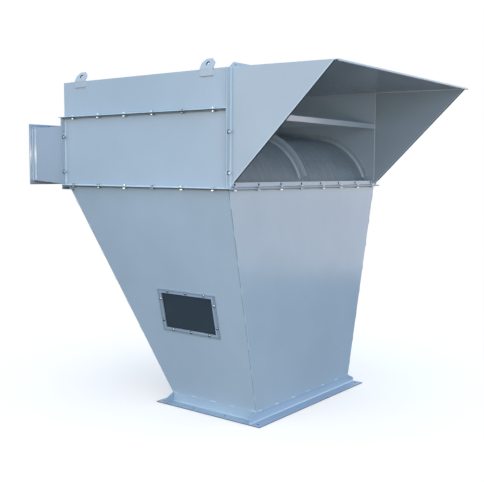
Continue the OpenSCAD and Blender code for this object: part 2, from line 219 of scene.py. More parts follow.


# The machine's coat of paint: its colours, among them a painted highlight for worn edges and roots, painted
# corner shade and a painted shadow under ledges, then the size of its drift, clouds, rubbing and orange peel,
# how far the painted corner shade and ledge shadow reach, and how high each unevenness stands
paintLook = {
    "sheet": (0.355, 0.475, 0.590),
    "bar": (0.335, 0.445, 0.560),
    # The duct's colour is a darker copy of the sheet's: painted shade
    "duct": (0.300, 0.405, 0.520),
    "screen": (0.290, 0.370, 0.445),
    # root: a lighter copy of the sheet's colour, the painted highlight of roots, strips, hems and welds
    "root": (0.430, 0.560, 0.690),
    "wearAndEdgeHighlight": (0.470, 0.640, 0.790),
    "dust": (0.430, 0.440, 0.430),
    "cornerShade": (0.20, 0.24, 0.28),
    "ledgeShadow": (0.035, 0.050, 0.060),
    "roughness": 0.16, "specular": 0.5, "dullUnderDust": 0.9, "dullInRain": 0.20,
    "driftScale": 1.7, "cloudScale": 9.0, "rubScale": 26.0, "grainScale": 420.0,
    "cornerShadeReach": 0.012, "ledgeShadowReach": 0.020,
    "driftHeight": 0.012, "cloudHeight": 0.0012, "grainHeight": 0.00006,
}


def shade(name, factor):
    return tuple(channel * factor for channel in paintLook[name])


# Options: scales for worn and highlighted arrises, gloss, dust and the painted shadow under ledges; the
# flanges' cut edges with a painted highlight over a painted shadow; a painted highlight round a height; a
# painted shadow line along a foot; a tint that paints how a front edge is lit; and lighter or darker paint on
# a sheet's inside and its flange, painted light and shade
def makePaint(name, colour, edgeRadius=0.0022, wearAndHighlightRadius=0.0042, wearAndHighlight=0.8, gloss=1.0, dustiness=1.0,
              ledgeShadowStrength=0.85, banded=False, highlightBand=None, lowShadowLine=None, frontEdgeLitTint=None, inner=1.0, flangeLight=1.0):
    material, tree, shader, coords = newMaterial(name)
    shadeInsideAndFlange = inner != 1.0 or flangeLight != 1.0
    place = addSplit(tree, coords) if shadeInsideAndFlange or highlightBand or lowShadowLine or frontEdgeLitTint else None
    drift = addNoise(tree, coords, paintLook["driftScale"], 2.0)
    cloud = addNoise(tree, coords, paintLook["cloudScale"], 4.0, 0.55)
    rub = addNoise(tree, coords, paintLook["rubScale"], 5.0, 0.6, (1.0, 1.0, 0.35))
    grain = addNoise(tree, coords, paintLook["grainScale"], 2.0)

    # Pigment: a slow drift over each sheet and faint clouding from handling
    toneBroad = addRange(tree, drift, 0.3, 0.7, 0.955, 1.035)
    tone = addProduct(tree, toneBroad, addRange(tree, cloud, 0.3, 0.7, 0.985, 1.015))
    # Painted light and shade: a sheet's inside and its flange made lighter or darker than its outer face
    if shadeInsideAndFlange:
        across = addMath(tree, "ABSOLUTE", place["Y"])
        inside = addProduct(tree, addMath(tree, "LESS_THAN", across, wallY - wall / 2),
                            addMath(tree, "GREATER_THAN", place["X"], backX + wall / 2))
        outside = addMath(tree, "GREATER_THAN", across, wallY + wall)
        for where, share in ((inside, inner), (outside, flangeLight)):
            tone = addProduct(tree, tone, addRange(tree, where, 0.0, 1.0, 1.0, share))
    pigment = addScaled(tree, colour, tone)

    # Worn arrises painted lighter, which also paints the highlight that rounded edges catch; broken up so
    # that they don't read as a drawn line
    broken = addRange(tree, rub, 0.35, 0.62, 0.6, 1.0)
    wearAndEdgeHighlight = addProduct(tree, addProduct(tree, addEdgeMask(tree, wearAndHighlightRadius), broken), wearAndHighlight)
    pigment = addMix(tree, wearAndEdgeHighlight, pigment, paintLook["wearAndEdgeHighlight"])

    # Dust that lies on faces turned up
    facing = addSplit(tree, addNode(tree, "NewGeometry").outputs["Normal"])["Z"]
    facesUp = addRange(tree, facing, 0.6, 0.98, 0.0, 1.0)
    patches = addRange(tree, cloud, 0.40, 0.66, 0.02 * dustiness, 0.22 * dustiness)
    dust = addProduct(tree, facesUp, patches)
    pigment = addMix(tree, dust, pigment, paintLook["dust"])

    # Painted shade: darker in corners and beside bolts, where occlusion is high, and a painted shadow on
    # faces just under a ledge
    cornerShade = addRange(tree, addOcclusion(tree, paintLook["cornerShadeReach"]), 0.10, 0.55, 0.12, 0.0)
    pigment = addMix(tree, cornerShade, pigment, paintLook["cornerShade"])
    # Painted shadow: a near-black band on faces just under a ledge
    if ledgeShadowStrength:
        ledgeShadow = addRange(tree, addSkywardOcclusion(tree, paintLook["ledgeShadowReach"]), 0.08, 0.32, ledgeShadowStrength, 0.0)
        pigment = addMix(tree, ledgeShadow, pigment, paintLook["ledgeShadow"])

    # Edges and patches that have a look of their own: painted highlights, shadows and lit tints
    if banded:
        pigment = addEdgeBands(tree, coords, pigment)
    # Painted highlight: a white band round one height, fading out above and below
    if highlightBand:
        away = addMath(tree, "ABSOLUTE", addMath(tree, "SUBTRACT", place["Z"], highlightBand["height"]))
        near = addRange(tree, away, 0.0, highlightBand["reach"], 1.0, 0.0)
        pigment = addMix(tree, addProduct(tree, near, addMath(tree, "SQRT", near)), pigment, highlightBand["colour"])
    # Painted light: a tint on the front edge's face that stands in for how it is lit
    if frontEdgeLitTint:
        atEdge = addMath(tree, "GREATER_THAN", place["X"], cadHigh[0] - 0.0010)
        pigment = addMix(tree, atEdge, pigment, frontEdgeLitTint)
    # Painted shadow: a dark line low on upright faces along a foot or an eave
    if lowShadowLine:
        upright = addRange(tree, addMath(tree, "ABSOLUTE", facing), 0.3, 0.6, 1.0, 0.0)
        low = addRange(tree, place["Z"], lowShadowLine["from"], lowShadowLine["to"], 1.0, 0.0)
        pigment = addMix(tree, addProduct(tree, upright, low), pigment, lowShadowLine["colour"])
    tree.links.new(pigment, shader.inputs["Base Color"])

    # Gloss: smoother where hands and cloths have been, duller under dust and where rain lies
    roughness = paintLook["roughness"] * gloss
    rough = addRange(tree, rub, 0.3, 0.72, roughness * 0.8, roughness * 1.45)
    for where, share in ((dust, "dullUnderDust"), (facesUp, "dullInRain")):
        rough = addMath(tree, "ADD", rough, addProduct(tree, where, paintLook[share]))
    tree.links.new(rough, shader.inputs["Roughness"])
    shader.inputs["Specular IOR Level"].default_value = paintLook["specular"]

    # Slightly uneven sheet, then the orange peel of the sprayed coat
    normal = addBevel(tree, edgeRadius)
    for height, distance, strength in ((drift, "driftHeight", 0.16), (cloud, "cloudHeight", 0.12),
                                       (grain, "grainHeight", 0.55)):
        normal = addBump(tree, height, paintLook[distance], strength, normal)
    tree.links.new(normal, shader.inputs["Normal"])
    return material


# Plated steel: each bolt has dulled by its own amount, and crevices get painted shade
def makeSteel(name, colour, roughness, batches=(0.45, 1.7)):
    material, tree, shader, coords = newMaterial(name)
    spangle = addNoise(tree, coords, 160.0, 3.0)
    batch = addNoise(tree, coords, 7.0, 1.0)
    creviceShade = addRange(tree, addOcclusion(tree, 0.006), 0.25, 0.75, 0.25, 1.0)
    tint = addProduct(tree, addRange(tree, spangle, 0.3, 0.7, 0.85, 1.12),
                      addRange(tree, batch, 0.40, 0.60, *batches))
    tree.links.new(addScaled(tree, colour, addProduct(tree, tint, creviceShade)), shader.inputs["Base Color"])
    shader.inputs["Metallic"].default_value = 1.0
    rough = addRange(tree, spangle, 0.25, 0.75, roughness * 0.7, roughness * 1.4)
    tree.links.new(rough, shader.inputs["Roughness"])
    tree.links.new(addBump(tree, addNoise(tree, coords, 900.0, 2.0), 0.00005, 0.6), shader.inputs["Normal"])
    return material


def makeSeal(name, colour):
    material, tree, shader, coords = newMaterial(name)
    fine = addNoise(tree, coords, 300.0, 3.0)
    dark, light = (tuple(channel * share for channel in colour) for share in (0.7, 1.4))
    tree.links.new(addMix(tree, fine, dark, light), shader.inputs["Base Color"])
    shader.inputs["Roughness"].default_value = 0.75
    tree.links.new(addBump(tree, fine, 0.0002, 0.5), shader.inputs["Normal"])
    return material


paneLook = {"clean": (0.036, 0.058, 0.082), "dusty": (0.050, 0.078, 0.098), "ior": 1.58}


# Smoked sheet: dark and very smooth, with a thin film of dust in patches
def makePane(name):
    material, tree, shader, coords = newMaterial(name)
    film = addNoise(tree, coords, 6.0, 3.0, 0.5)
    fine = addNoise(tree, coords, 240.0, 2.0)
    colour = addMix(tree, addRange(tree, film, 0.35, 0.75, 0.0, 0.35), paneLook["clean"], paneLook["dusty"])
    tree.links.new(colour, shader.inputs["Base Color"])
    tree.links.new(addRange(tree, film, 0.3, 0.7, 0.05, 0.16), shader.inputs["Roughness"])
    shader.inputs["IOR"].default_value = paneLook["ior"]
    tree.links.new(addBump(tree, fine, 0.00002, 0.3), shader.inputs["Normal"])
    return material


# The screen is flat behind its axis and curved in front of it, and slopes down to the front
screenCurve = {"axisX": frontX - 0.410, "axisZ": jointZ - 0.078, "slope": math.radians(3.8), "radius": 0.358}
# The along and across tones are painted light on the screen
screenLook = {"pitch": 0.0050, "hole": 0.0015, "depth": 0.0008, "holeColour": (0.012, 0.015, 0.018),
              "alongPaintedLight": (-0.10, 0.30, 1.50, 0.98), "acrossPaintedLight": (-0.35, 0.35, 0.90, 1.08)}


# Perforated sheet: staggered round holes laid out along the sheet's developed length
def makeScreen(name, axisX, axisZ, slope, radius):
    material, tree, shader, coords = newMaterial(name)
    turn = {"Vector": coords, "Center": (axisX, 0.0, axisZ), "Angle": -slope}
    level = addNode(tree, "VectorRotate", turn, rotation_type="Y_AXIS").outputs["Vector"]
    place = addSplit(tree, level)
    ahead = addMath(tree, "SUBTRACT", place["X"], axisX)
    up = addMath(tree, "SUBTRACT", place["Z"], axisZ)
    arc = addProduct(tree, addMath(tree, "ARCTAN2", ahead, up), radius)
    onCurve = addMath(tree, "GREATER_THAN", ahead, 0.0)
    straight = addProduct(tree, ahead, addMath(tree, "SUBTRACT", 1.0, onCurve))
    along = addMath(tree, "ADD", addProduct(tree, arc, onCurve), straight)

    def fromMiddle(value, size, shift):
        cells = addMath(tree, "ADD", addMath(tree, "DIVIDE", value, size), shift)
        return addProduct(tree, addMath(tree, "SUBTRACT", addMath(tree, "FRACT", cells), 0.5), size)

    # Two square grids, the second set in the gaps of the first
    nearest = None
    for shift in (0.0, 0.5):
        u = fromMiddle(along, screenLook["pitch"] * math.sqrt(3), shift)
        v = fromMiddle(place["Y"], screenLook["pitch"], shift)
        squared = addMath(tree, "ADD", addProduct(tree, u, u), addProduct(tree, v, v))
        away = addMath(tree, "SQRT", squared)
        nearest = away if nearest is None else addMath(tree, "MINIMUM", nearest, away)
    solid = addRange(tree, nearest, screenLook["hole"] * 0.85, screenLook["hole"] * 1.1, 0.0, 1.0)

    cloud = addNoise(tree, coords, 5.0, 4.0, 0.6)
    streak = addNoise(tree, coords, 38.0, 4.0, 0.6, (0.12, 1.0, 0.12))
    tone = addRange(tree, cloud, 0.3, 0.7, 0.92, 1.06)
    # Painted light: lighter towards the back and towards the far side
    for change in (addRange(tree, streak, 0.3, 0.7, 0.86, 1.14),
                   addRange(tree, along, *screenLook["alongPaintedLight"]),
                   addRange(tree, place["Y"], *screenLook["acrossPaintedLight"])):
        tone = addProduct(tree, tone, change)
    colour = addMix(tree, solid, screenLook["holeColour"], addScaled(tree, paintLook["screen"], tone))
    tree.links.new(colour, shader.inputs["Base Color"])
    tree.links.new(addRange(tree, cloud, 0.3, 0.7, 0.30, 0.42), shader.inputs["Roughness"])
    normal = addBump(tree, solid, screenLook["depth"], 0.4, addBump(tree, cloud, 0.004, 0.3))
    tree.links.new(normal, shader.inputs["Normal"])
    return material


thickCoat = {"wearAndHighlight": 0.3, "gloss": 0.8, "ledgeShadowStrength": 0.0}
barCoat = {"edgeRadius": 0.0026, "dustiness": 0.15}
# Painted shadow lines along the frame's foot and on the hood's eave
footShadowLine = {"from": 0.0047, "to": 0.0052, "colour": (0.150, 0.200, 0.330)}
footCoat = {"edgeRadius": 0.0026, "dustiness": 0.05, "lowShadowLine": footShadowLine}
eaveShadowLine = {"from": roofEdgeZ + 0.0022, "to": roofEdgeZ + 0.0044, "colour": (0.020, 0.040, 0.045)}
# A painted highlight round one height on the duct's strips
paintedHighlightBand = {"height": 1.392, "reach": 0.075, "colour": (1.0, 1.0, 1.0)}
fineEdge = {"edgeRadius": 0.0006, "wearAndHighlightRadius": 0.0010}

# One coat of paint in lighter and darker copies that paint the light and shade each kind of piece gets:
# hopper, hood, top, lugs, duct, lip, cross bar and frame feet
sheetPaint = makePaint("sheet_paint", paintLook["sheet"], banded=True)
hopperPaint = makePaint("hopper_paint", shade("sheet", 1.065), banded=True)
hoodPaint = makePaint("hood_paint", shade("sheet", 0.95), ledgeShadowStrength=0.0, inner=0.93, flangeLight=1.15)
topPaint = makePaint("top_paint", paintLook["sheet"], banded=True, inner=1.18)
# Painted highlight on the corner flanges' roots and welds
cornerLitPaint = makePaint("corner_lit_paint", shade("sheet", 1.10), ledgeShadowStrength=0.0)
eavePaint = makePaint("eave_paint", paintLook["sheet"], gloss=0.45, ledgeShadowStrength=0.0, lowShadowLine=eaveShadowLine,
                      frontEdgeLitTint=(0.210, 0.440, 0.620))
lugPaint = makePaint("lug_paint", (0.3834, 0.48925, 0.5782), edgeRadius=0.0026)
ductPaint = makePaint("duct_paint", paintLook["duct"])
barPaint = makePaint("bar_paint", paintLook["bar"], banded=True, **barCoat)
lipPaint = makePaint("lip_paint", (0.320, 0.405, 0.500), banded=True, **barCoat)
crossPaint = makePaint("cross_bar_paint", (0.400, 0.510, 0.640), **barCoat)
footPaint = makePaint("foot_paint", (0.345, 0.475, 0.600), **footCoat)
frontFootPaint = makePaint("front_foot_paint", (0.295, 0.425, 0.570), **footCoat)
# Painted highlights: lighter copies of the coat for fold roots, hems, rib fillets and welds
rootHighlightPaint = makePaint("root_paint", paintLook["root"], **thickCoat)
paleRootHighlightPaint = makePaint("pale_root_paint", (0.640, 0.740, 0.830), **thickCoat)
footRootHighlightPaint = makePaint("foot_root_paint", shade("root", 0.90), wearAndHighlight=0.3, ledgeShadowStrength=0.0)
stripHighlightPaint = makePaint("strip_highlight_paint", paintLook["root"], highlightBand=paintedHighlightBand, **thickCoat)
hoodHemHighlightPaint = makePaint("hood_hem_highlight_paint", shade("root", 1.10), **fineEdge, **thickCoat)
boltPaint = makePaint("bolt_paint", (0.560, 0.700, 0.830), wearAndHighlight=0.6, dustiness=0.3, ledgeShadowStrength=0.0, **fineEdge)
framePaint = makePaint("window_frame_paint", (0.226, 0.320, 0.432), 0.0016, 0.002, wearAndHighlight=0.4)
beadPaint = makePaint("window_bead_paint", (0.320, 0.430, 0.560), 0.0008, 0.001, wearAndHighlight=0.3, ledgeShadowStrength=0.0)
ribPaint = makePaint("rib_paint", shade("screen", 1.12), wearAndHighlight=0.5, gloss=1.6, ledgeShadowStrength=0.0)
hemHighlightPaint = makePaint("hem_paint", (0.385, 0.500, 0.620), wearAndHighlight=0.5, gloss=1.3, ledgeShadowStrength=0.0)
weldPaint = makePaint("weld_paint", shade("root", 1.08), wearAndHighlight=0.3, gloss=1.5, ledgeShadowStrength=0.0)
boltSteel = makeSteel("zinc_steel", (0.58, 0.72, 0.82), 0.22)
brightSteel = makeSteel("bright_steel", (0.66, 0.84, 0.96), 0.42, batches=(0.85, 1.15))
screwSteel = makeSteel("screw_steel", (0.52, 0.70, 0.86), 0.22)
# Black for the hole linings, painted shade, and for the pane's rubber
holeShadeAndRubberBlack = makeSeal("hole_shade_black", (0.006, 0.007, 0.008))
paleSeal = makeSeal("pale_seal", (0.48, 0.57, 0.65))
seamSeal = makeSeal("seam_seal", (0.140, 0.200, 0.270))
roofSeal = makeSeal("roof_seal", (0.46, 0.56, 0.66))
# Black rubber, which also paints shade: the bolt and screw washers and the hood edging
rubber = makeSeal("washer_rubber", (0.030, 0.045, 0.055))
smokedPane = makePane("smoked_pane")
screenSheet = makeScreen("screen_sheet", **screenCurve)

# The first row whose words a node's name starts with gives its finish
nodeFinishes = (
    (("window_pane",), smokedPane),
    (("window_frame",), framePaint),
    (("screen_near_half", "screen_far_half"), screenSheet),
    (("screen",), ribPaint),
    (("lug",), lugPaint),
    (("hopper_near_wall", "hopper_far_wall"), hopperPaint),
    (("hopper_back_rail", "inlet_flange"), barPaint),
    (("inlet_near_wall", "inlet_far_wall", "inlet_roof", "inlet_floor"), ductPaint),
    (("top_",), topPaint),
    (("hood_roof",), eavePaint),
    (("hood_",), hoodPaint),
    (("front_lip",), lipPaint),
    (("front_cross_bar",), crossPaint),
    (("outlet_frame_front", "outlet_frame_back"), frontFootPaint),
    (("outlet_frame",), footPaint),
)
for name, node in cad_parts.items():
    finish = next((look for starts, look in nodeFinishes if name.startswith(starts)), sheetPaint)
    for slot in node.material_slots:
        slot.material = finish
print("materials made and assigned")


def addObject(name, data):
    made = bpy.data.objects.new(name, data)
    bpy.context.scene.collection.objects.link(made)
    return made


def finishMesh(name, bm, material, sharpAngle=32):
    bmesh.ops.recalc_face_normals(bm, faces=bm.faces)
    limit = math.radians(sharpAngle)
    for face in bm.faces:
        face.smooth = True
    for edge in bm.edges:
        edge.smooth = len(edge.link_faces) == 2 and edge.calc_face_angle(0) < limit
    mesh = bpy.data.meshes.new(name)
    bm.to_mesh(mesh)
    bm.free()
    piece = addObject(name, mesh)
    mesh.materials.append(material)
    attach(piece, "root")


# A frame whose Z lies along axis and whose X lies near the given side
def frameAt(origin, axis, side=None, turn=0.0):
    z = Vector(axis).normalized()
    x = (z.orthogonal() if side is None else Vector(side) - z * z.dot(Vector(side))).normalized()
    turned = Matrix((x, z.cross(x), z)).transposed().to_4x4()
    return Matrix.Translation(origin) @ turned @ Matrix.Rotation(turn, 4, "Z")


# Joins rings into a skin that is closed at its ends, or looped back to the first ring. A ring of one
# point closes an end by itself
def skinRings(bm, rings, place=Matrix.Identity(4), looped=False):
    made = [[bm.verts.new(place @ Vector(p)) for p in ring] for ring in rings]
    for low, high in zip(made, made[1:] + made[:1] if looped else made[1:]):
        count = max(len(low), len(high))
        for i in range(count):
            j = (i + 1) % count
            corners = [low[i % len(low)], low[j % len(low)], high[j % len(high)], high[i % len(high)]]
            bm.faces.new(list(dict.fromkeys(corners)))
    for ring in () if looped else (made[0], made[-1]):
        if len(ring) > 2:
            bm.faces.new(ring)


def turnsOf(count):
    return [2 * math.pi * i / count for i in range(count)]


def roundRing(radius, z, count=24):
    return [(radius * math.cos(a), radius * math.sin(a), z) for a in turnsOf(count)]


# Half a hexagon's width across flats, over this, is how far it reaches at an angle
def flatCosine(a):
    return math.cos(a % (math.pi / 3) - math.pi / 6)


# Hexagon bar with its corners turned off at one or both ends
def addHex(bm, place, acrossFlats, height, bothEnds, perSide=6):
    count = 6 * perSide
    bearing = acrossFlats / 2 * 0.94
    slope = math.tan(math.radians(30))
    reach = [acrossFlats / 2 / flatCosine(a) for a in turnsOf(count)]
    drop = [max(0.0, (r - bearing) * slope) for r in reach]
    spot = [(math.cos(a), math.sin(a)) for a in turnsOf(count)]
    base = [(c * r, s * r, d if bothEnds else 0.0) for (c, s), r, d in zip(spot, reach, drop)]
    top = [(c * r, s * r, height - d) for (c, s), r, d in zip(spot, reach, drop)]
    rings = [base, top, roundRing(bearing, height, count)]
    if bothEnds:
        rings.insert(0, roundRing(bearing, 0.0, count))
    skinRings(bm, rings, place)


def addWasher(bm, place, outer, height, count=28):
    soft = height * 0.25
    steps = ((outer - soft, 0.0), (outer, soft), (outer, height - soft), (outer - soft, height))
    skinRings(bm, [roundRing(radius, z, count) for radius, z in steps], place)


# Threaded end: shallow ridges at the thread's own pitch, then a turned tip
def addThread(bm, place, radius, length, pitch, count=20):
    steps = int(length / pitch * 2)
    rings = []
    for i in range(steps):
        rings.append(roundRing(radius - (pitch * 0.5 if i % 2 else 0.0), length * i / steps * 0.94, count))
    rings.append(roundRing(radius * 0.78, length, count))
    skinRings(bm, rings, place)


boltSize = {"acrossFlats": 0.013, "head": 0.0051, "nut": 0.0062, "washer": 0.0088, "washerHeight": 0.0014,
            "shank": 0.0040, "pitch": 0.00125, "tail": 0.0020}
washers = bmesh.new()


# A bolt through flanges of the given grip, on black sealing washers that also paint the shade round it. Its
# head stands on the side that axis points to. With a facing, one flat of head and nut is turned that way, as
# a spanner leaves it
def addBolt(bm, top, axis, grip, tailLength=boltSize["tail"], facing=None, nuts=None,
            washer=boltSize["washer"]):
    axis = Vector(axis).normalized()
    rise = Matrix.Translation((0, 0, boltSize["washerHeight"]))
    for at, out, height, bothEnds in ((Vector(top), axis, boltSize["head"], False),
                                      (Vector(top) - axis * grip, -axis, boltSize["nut"], True)):
        turn = draw.uniform(0, math.pi / 3) if facing is None else math.pi / 6 + draw.uniform(-0.2, 0.2)
        place = frameAt(at, out, facing, turn)
        addWasher(washers, place, washer, boltSize["washerHeight"])
        addHex(nuts if bothEnds and nuts else bm, place @ rise, boltSize["acrossFlats"], height, bothEnds)
    tail = place @ Matrix.Translation((0, 0, boltSize["washerHeight"] + boltSize["nut"] * 0.9))
    addThread(bm, tail, boltSize["shank"], tailLength * draw.uniform(0.9, 1.1), boltSize["pitch"])


sides = ((-1, "near"), (1, "far"))
upward, downward = (0, 0, 1), (0, 0, -1)
flangeBolts = {
    "count": 6, "fromBack": 0.084, "upperShift": 0.004, "pitch": 0.2045, "inset": 0.0125,
    "cornerHeights": (0.076, 0.271), "cornerTail": 0.010, "cornerWasher": 0.0108,
    "frontFirst": 0.111, "frontPitch": 0.1945, "frontPairs": 4, "backCount": 7, "backShift": 0.002,
}
grip = 2 * flange
inset = flangeBolts["inset"]
boltY = flangeY - inset
longRow = [backX + flangeBolts["fromBack"] + flangeBolts["pitch"] * i for i in range(flangeBolts["count"])]
frontRow = [side * (flangeBolts["frontFirst"] + flangeBolts["frontPitch"] * i)
            for side in (-1, 1) for i in range(flangeBolts["frontPairs"])]
backCount = flangeBolts["backCount"]
backRow = [(-0.5 + (i + 0.5) / backCount) * 2 * wallY for i in range(backCount)]
for side, word in sides:
    for z, where, shift in ((midZ, "upper", flangeBolts["upperShift"]), (jointZ, "lower", 0.0)):
        bm = bmesh.new()
        for x in longRow:
            addBolt(bm, (x + shift, side * boltY, z + flange), upward, grip, facing=(0.15, side, 0))
        finishMesh(f"{where}_flange_bolts_{word}", bm, boltSteel)
    bm, nuts = bmesh.new(), bmesh.new()
    for rise in flangeBolts["cornerHeights"]:
        for x in (backX, frontX):
            addBolt(bm, (x - flange, side * boltY, jointZ + rise), (-1, 0, 0), grip,
                    flangeBolts["cornerTail"], None, nuts, flangeBolts["cornerWasher"])
    finishMesh(f"corner_flange_bolts_{word}", bm, boltSteel)
    finishMesh(f"corner_flange_nuts_{word}", nuts, boltPaint)
bm = bmesh.new()
for y in frontRow:
    addBolt(bm, (lipHigh.x - inset, y, jointZ + flange), upward, grip, facing=(0.4, -1, 0))
finishMesh("front_flange_bolts", bm, brightSteel)
bm = bmesh.new()
for y in backRow:
    addBolt(bm, (backX - inset - flangeBolts["backShift"], y, midZ + flange), upward, grip)
finishMesh("back_flange_bolts", bm, boltSteel)
finishMesh("sealing_washers", washers, rubber)
print("flange bolts placed")


liningSize = {"clearance": 0.0001, "bottom": 0.0015}


# Black lining of a punched hole that paints the shade inside it, from its face down to the given depth,
# closed behind if blind
def addLining(bm, centre, axis, radius, depth, thick, blind=False, count=24):
    place = frameAt(Vector(centre), axis)
    outer, inner = radius - liningSize["clearance"], radius - thick
    rings = [roundRing(inner, 0.0, count), roundRing(inner + thick * 0.4, -sunk, count),
             roundRing(outer, -sunk, count), roundRing(outer, depth, count)]
    if blind:
        skinRings(bm, [roundRing(inner, depth - liningSize["bottom"], count)] + rings, place)
    else:
        skinRings(bm, rings + [roundRing(inner, depth, count)], place, looped=True)


lipHoles = {"radius": 0.006, "edge": 0.0425, "count": 8, "rise": 0.019, "depth": 0.004, "lining": 0.0004}
inletHoles = {"radius": 0.0055, "sideRise": 0.096, "pitchY": 0.400, "inset": 0.0125, "depth": flange - 0.0004,
              "lining": 0.0008}
lugHole = {"radius": 0.011, "rise": 0.0285, "lean": math.radians(30), "thick": 0.006, "bend": 0.003,
           "lining": 0.0016}
lugs = [boxOf(name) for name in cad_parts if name.startswith("lug")]
linings = bmesh.new()
lipPitch = 2 * (wallY - lipHoles["edge"]) / (lipHoles["count"] - 1)
for i in range(lipHoles["count"]):
    centre = (frontX, -wallY + lipHoles["edge"] + i * lipPitch, jointZ + lipHoles["rise"])
    addLining(linings, centre, (-1, 0, 0), lipHoles["radius"], lipHoles["depth"], lipHoles["lining"], True)
endHoles = [(side * (ductFlangeHigh.y - inletHoles["inset"]), ductMiddle + up * inletHoles["sideRise"])
            for side in (-1, 1) for up in (-1, 1)]
longHoles = [(i * inletHoles["pitchY"], z) for i in (-1.5, -0.5, 0.5, 1.5)
             for z in (ductFlangeLow.z + inletHoles["inset"], ductFlangeHigh.z - inletHoles["inset"])]
for y, z in endHoles + longHoles:
    addLining(linings, (ductFlangeHigh.x, y, z), (-1, 0, 0), inletHoles["radius"], inletHoles["depth"],
              inletHoles["lining"], True)
for low, high in lugs:
    side = 1 if high.y > 0 else -1
    lean, rise = lugHole["lean"], lugHole["rise"]
    inward = Vector((0, -side * math.cos(lean), -math.sin(lean)))
    bendY, bendZ = side * (wallY + lugHole["thick"]), roofLow.z + wall + lugHole["bend"]
    centre = ((low.x + high.x) / 2, bendY - side * rise * math.sin(lean), bendZ + rise * math.cos(lean))
    addLining(linings, centre, inward, lugHole["radius"], lugHole["thick"] + sunk, lugHole["lining"])
finishMesh("hole_shade_linings", linings, holeShadeAndRubberBlack, 50)
print("holes lined")

screwLook = {"radius": 0.0068, "height": 0.0044, "socket": 0.0020, "washer": 0.0092, "washerHeight": 0.0009,
             "lift": 0.0025, "shift": 0.0020, "sideInset": 0.0095, "endInset": 0.0115,
             "longPlaces": (-0.128, 0.0, 0.128), "endPlaces": (-0.062, 0.062)}


# Window screws: low domed heads with a hexagon socket
def addScrew(bm, place, count=24):
    radius, height, socket = screwLook["radius"], screwLook["height"], screwLook["socket"]
    rings = [roundRing(radius, 0.0, count)]
    for i in range(1, 6):
        a = i / 6 * math.pi / 2
        rings.append(roundRing(radius * (0.42 + 0.58 * math.cos(a)), height * math.sin(a), count))
    hexagon = [(socket * math.cos(a) / flatCosine(a), socket * math.sin(a) / flatCosine(a))
               for a in turnsOf(count)]
    rings += [[(x, y, z) for x, y in hexagon] for z in (height, height * 0.35)]
    skinRings(bm, rings, place)


# The hopper's slopes, from the frame at its foot to the joint
footX, footY, footZ = endLow.x + angle, -baseHigh.y + angle, baseHigh.z
wallLean = math.atan2(wallY - footY, jointZ - footZ)
windowTrim = {"halfDown": 0.120, "faceOut": 0.003, "opening": (0.177, 0.101), "bead": 0.0095, "proud": 0.0009,
              "rubber": 0.0050, "rubberProud": 0.0022}
windowMiddle = (windowLow + windowHigh) / 2
windowOut = Vector((0, -math.cos(wallLean), -math.sin(wallLean)))
windowDown = Vector((0, math.sin(wallLean), -math.cos(wallLean)))
windowHalf = Vector(((windowHigh.x - windowLow.x) / 2, windowTrim["halfDown"], 0))

bm, discs = bmesh.new(), bmesh.new()
face = windowMiddle + windowOut * windowTrim["faceOut"]
spots = [(x, side * (windowHalf.y - screwLook["sideInset"]))
         for side in (-1, 1) for x in screwLook["longPlaces"]]
spots += [(side * (windowHalf.x - screwLook["endInset"]), y)
          for side in (-1, 1) for y in screwLook["endPlaces"]]
for across, down in spots:
    place = face + Vector((across + screwLook["shift"], 0, 0)) + windowDown * (down - screwLook["lift"])
    # Black washers under the screws, which also paint the shade round each head
    addWasher(discs, frameAt(place, windowOut), screwLook["washer"], screwLook["washerHeight"])
    seat = place + windowOut * screwLook["washerHeight"]
    addScrew(bm, frameAt(seat, windowOut, turn=draw.uniform(0, math.pi)))
finishMesh("window_screws", bm, screwSteel, 40)
finishMesh("window_washers", discs, rubber)


# A bar from start to end, whose section is given as places along side and out
def addPrism(bm, start, end, side, out, section):
    side, out = Vector(side).normalized(), Vector(out).normalized()
    skinRings(bm, [[Vector(place) + side * a + out * b for a, b in section] for place in (start, end)])


# A bar of chamfered section: its width lies along side and it stands proud along out
def addStrip(bm, start, end, side, out, width, proud):
    soft = min(width, proud) * 0.35
    section = [(0, -sunk), (width, -sunk), (width, proud - soft), (width - soft, proud), (soft, proud),
               (0, proud - soft)]
    addPrism(bm, start, end, side, out, section)


# A raised bead round the inner half of the window frame, and the rubber that holds the pane
beads, gaskets = bmesh.new(), bmesh.new()
halfX, halfDown = windowTrim["opening"]
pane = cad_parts["window_pane"]
paneOut = max((pane.matrix_world @ v.co - windowMiddle).dot(windowOut) for v in pane.data.vertices)
paneFace = windowMiddle + windowOut * paneOut
for sign in (-1, 1):
    for bm, base, width, proud, inward, reach in (
            (beads, face, windowTrim["bead"], windowTrim["proud"], 1, windowTrim["bead"]),
            (gaskets, paneFace, windowTrim["rubber"], windowTrim["rubberProud"], -1, 0.0)):
        edge = base + windowDown * (sign * halfDown)
        run = Vector((halfX + reach, 0, 0))
        addStrip(bm, edge - run, edge + run, windowDown * (sign * inward), windowOut, width, proud)
        edge = base + Vector((sign * halfX, 0, 0))
        run = windowDown * halfDown
        addStrip(bm, edge - run, edge + run, (sign * inward, 0, 0), windowOut, width, proud)
finishMesh("window_bead", beads, beadPaint)
finishMesh("pane_rubber", gaskets, holeShadeAndRubberBlack)
print("window screws and trim placed")


# Concave root of a folded or rolled corner, from start to end, between two faces
def addRoot(bm, start, end, alongA, alongB, radius, steps=6, wide=1.0):
    a, b = Vector(alongA).normalized() * radius * wide, Vector(alongB).normalized() * radius
    overlap = (a + b) * 0.06
    profile = [-overlap, a - overlap * 0.5]
    for i in range(1, steps):
        t = i / steps
        profile.append(a * (1 - t) ** 2 + b * t ** 2)  # quadratic curve with its handle in the corner
    profile.append(b - overlap * 0.5)
    skinRings(bm, [[Vector(place) + p for p in profile] for place in (start, end)])


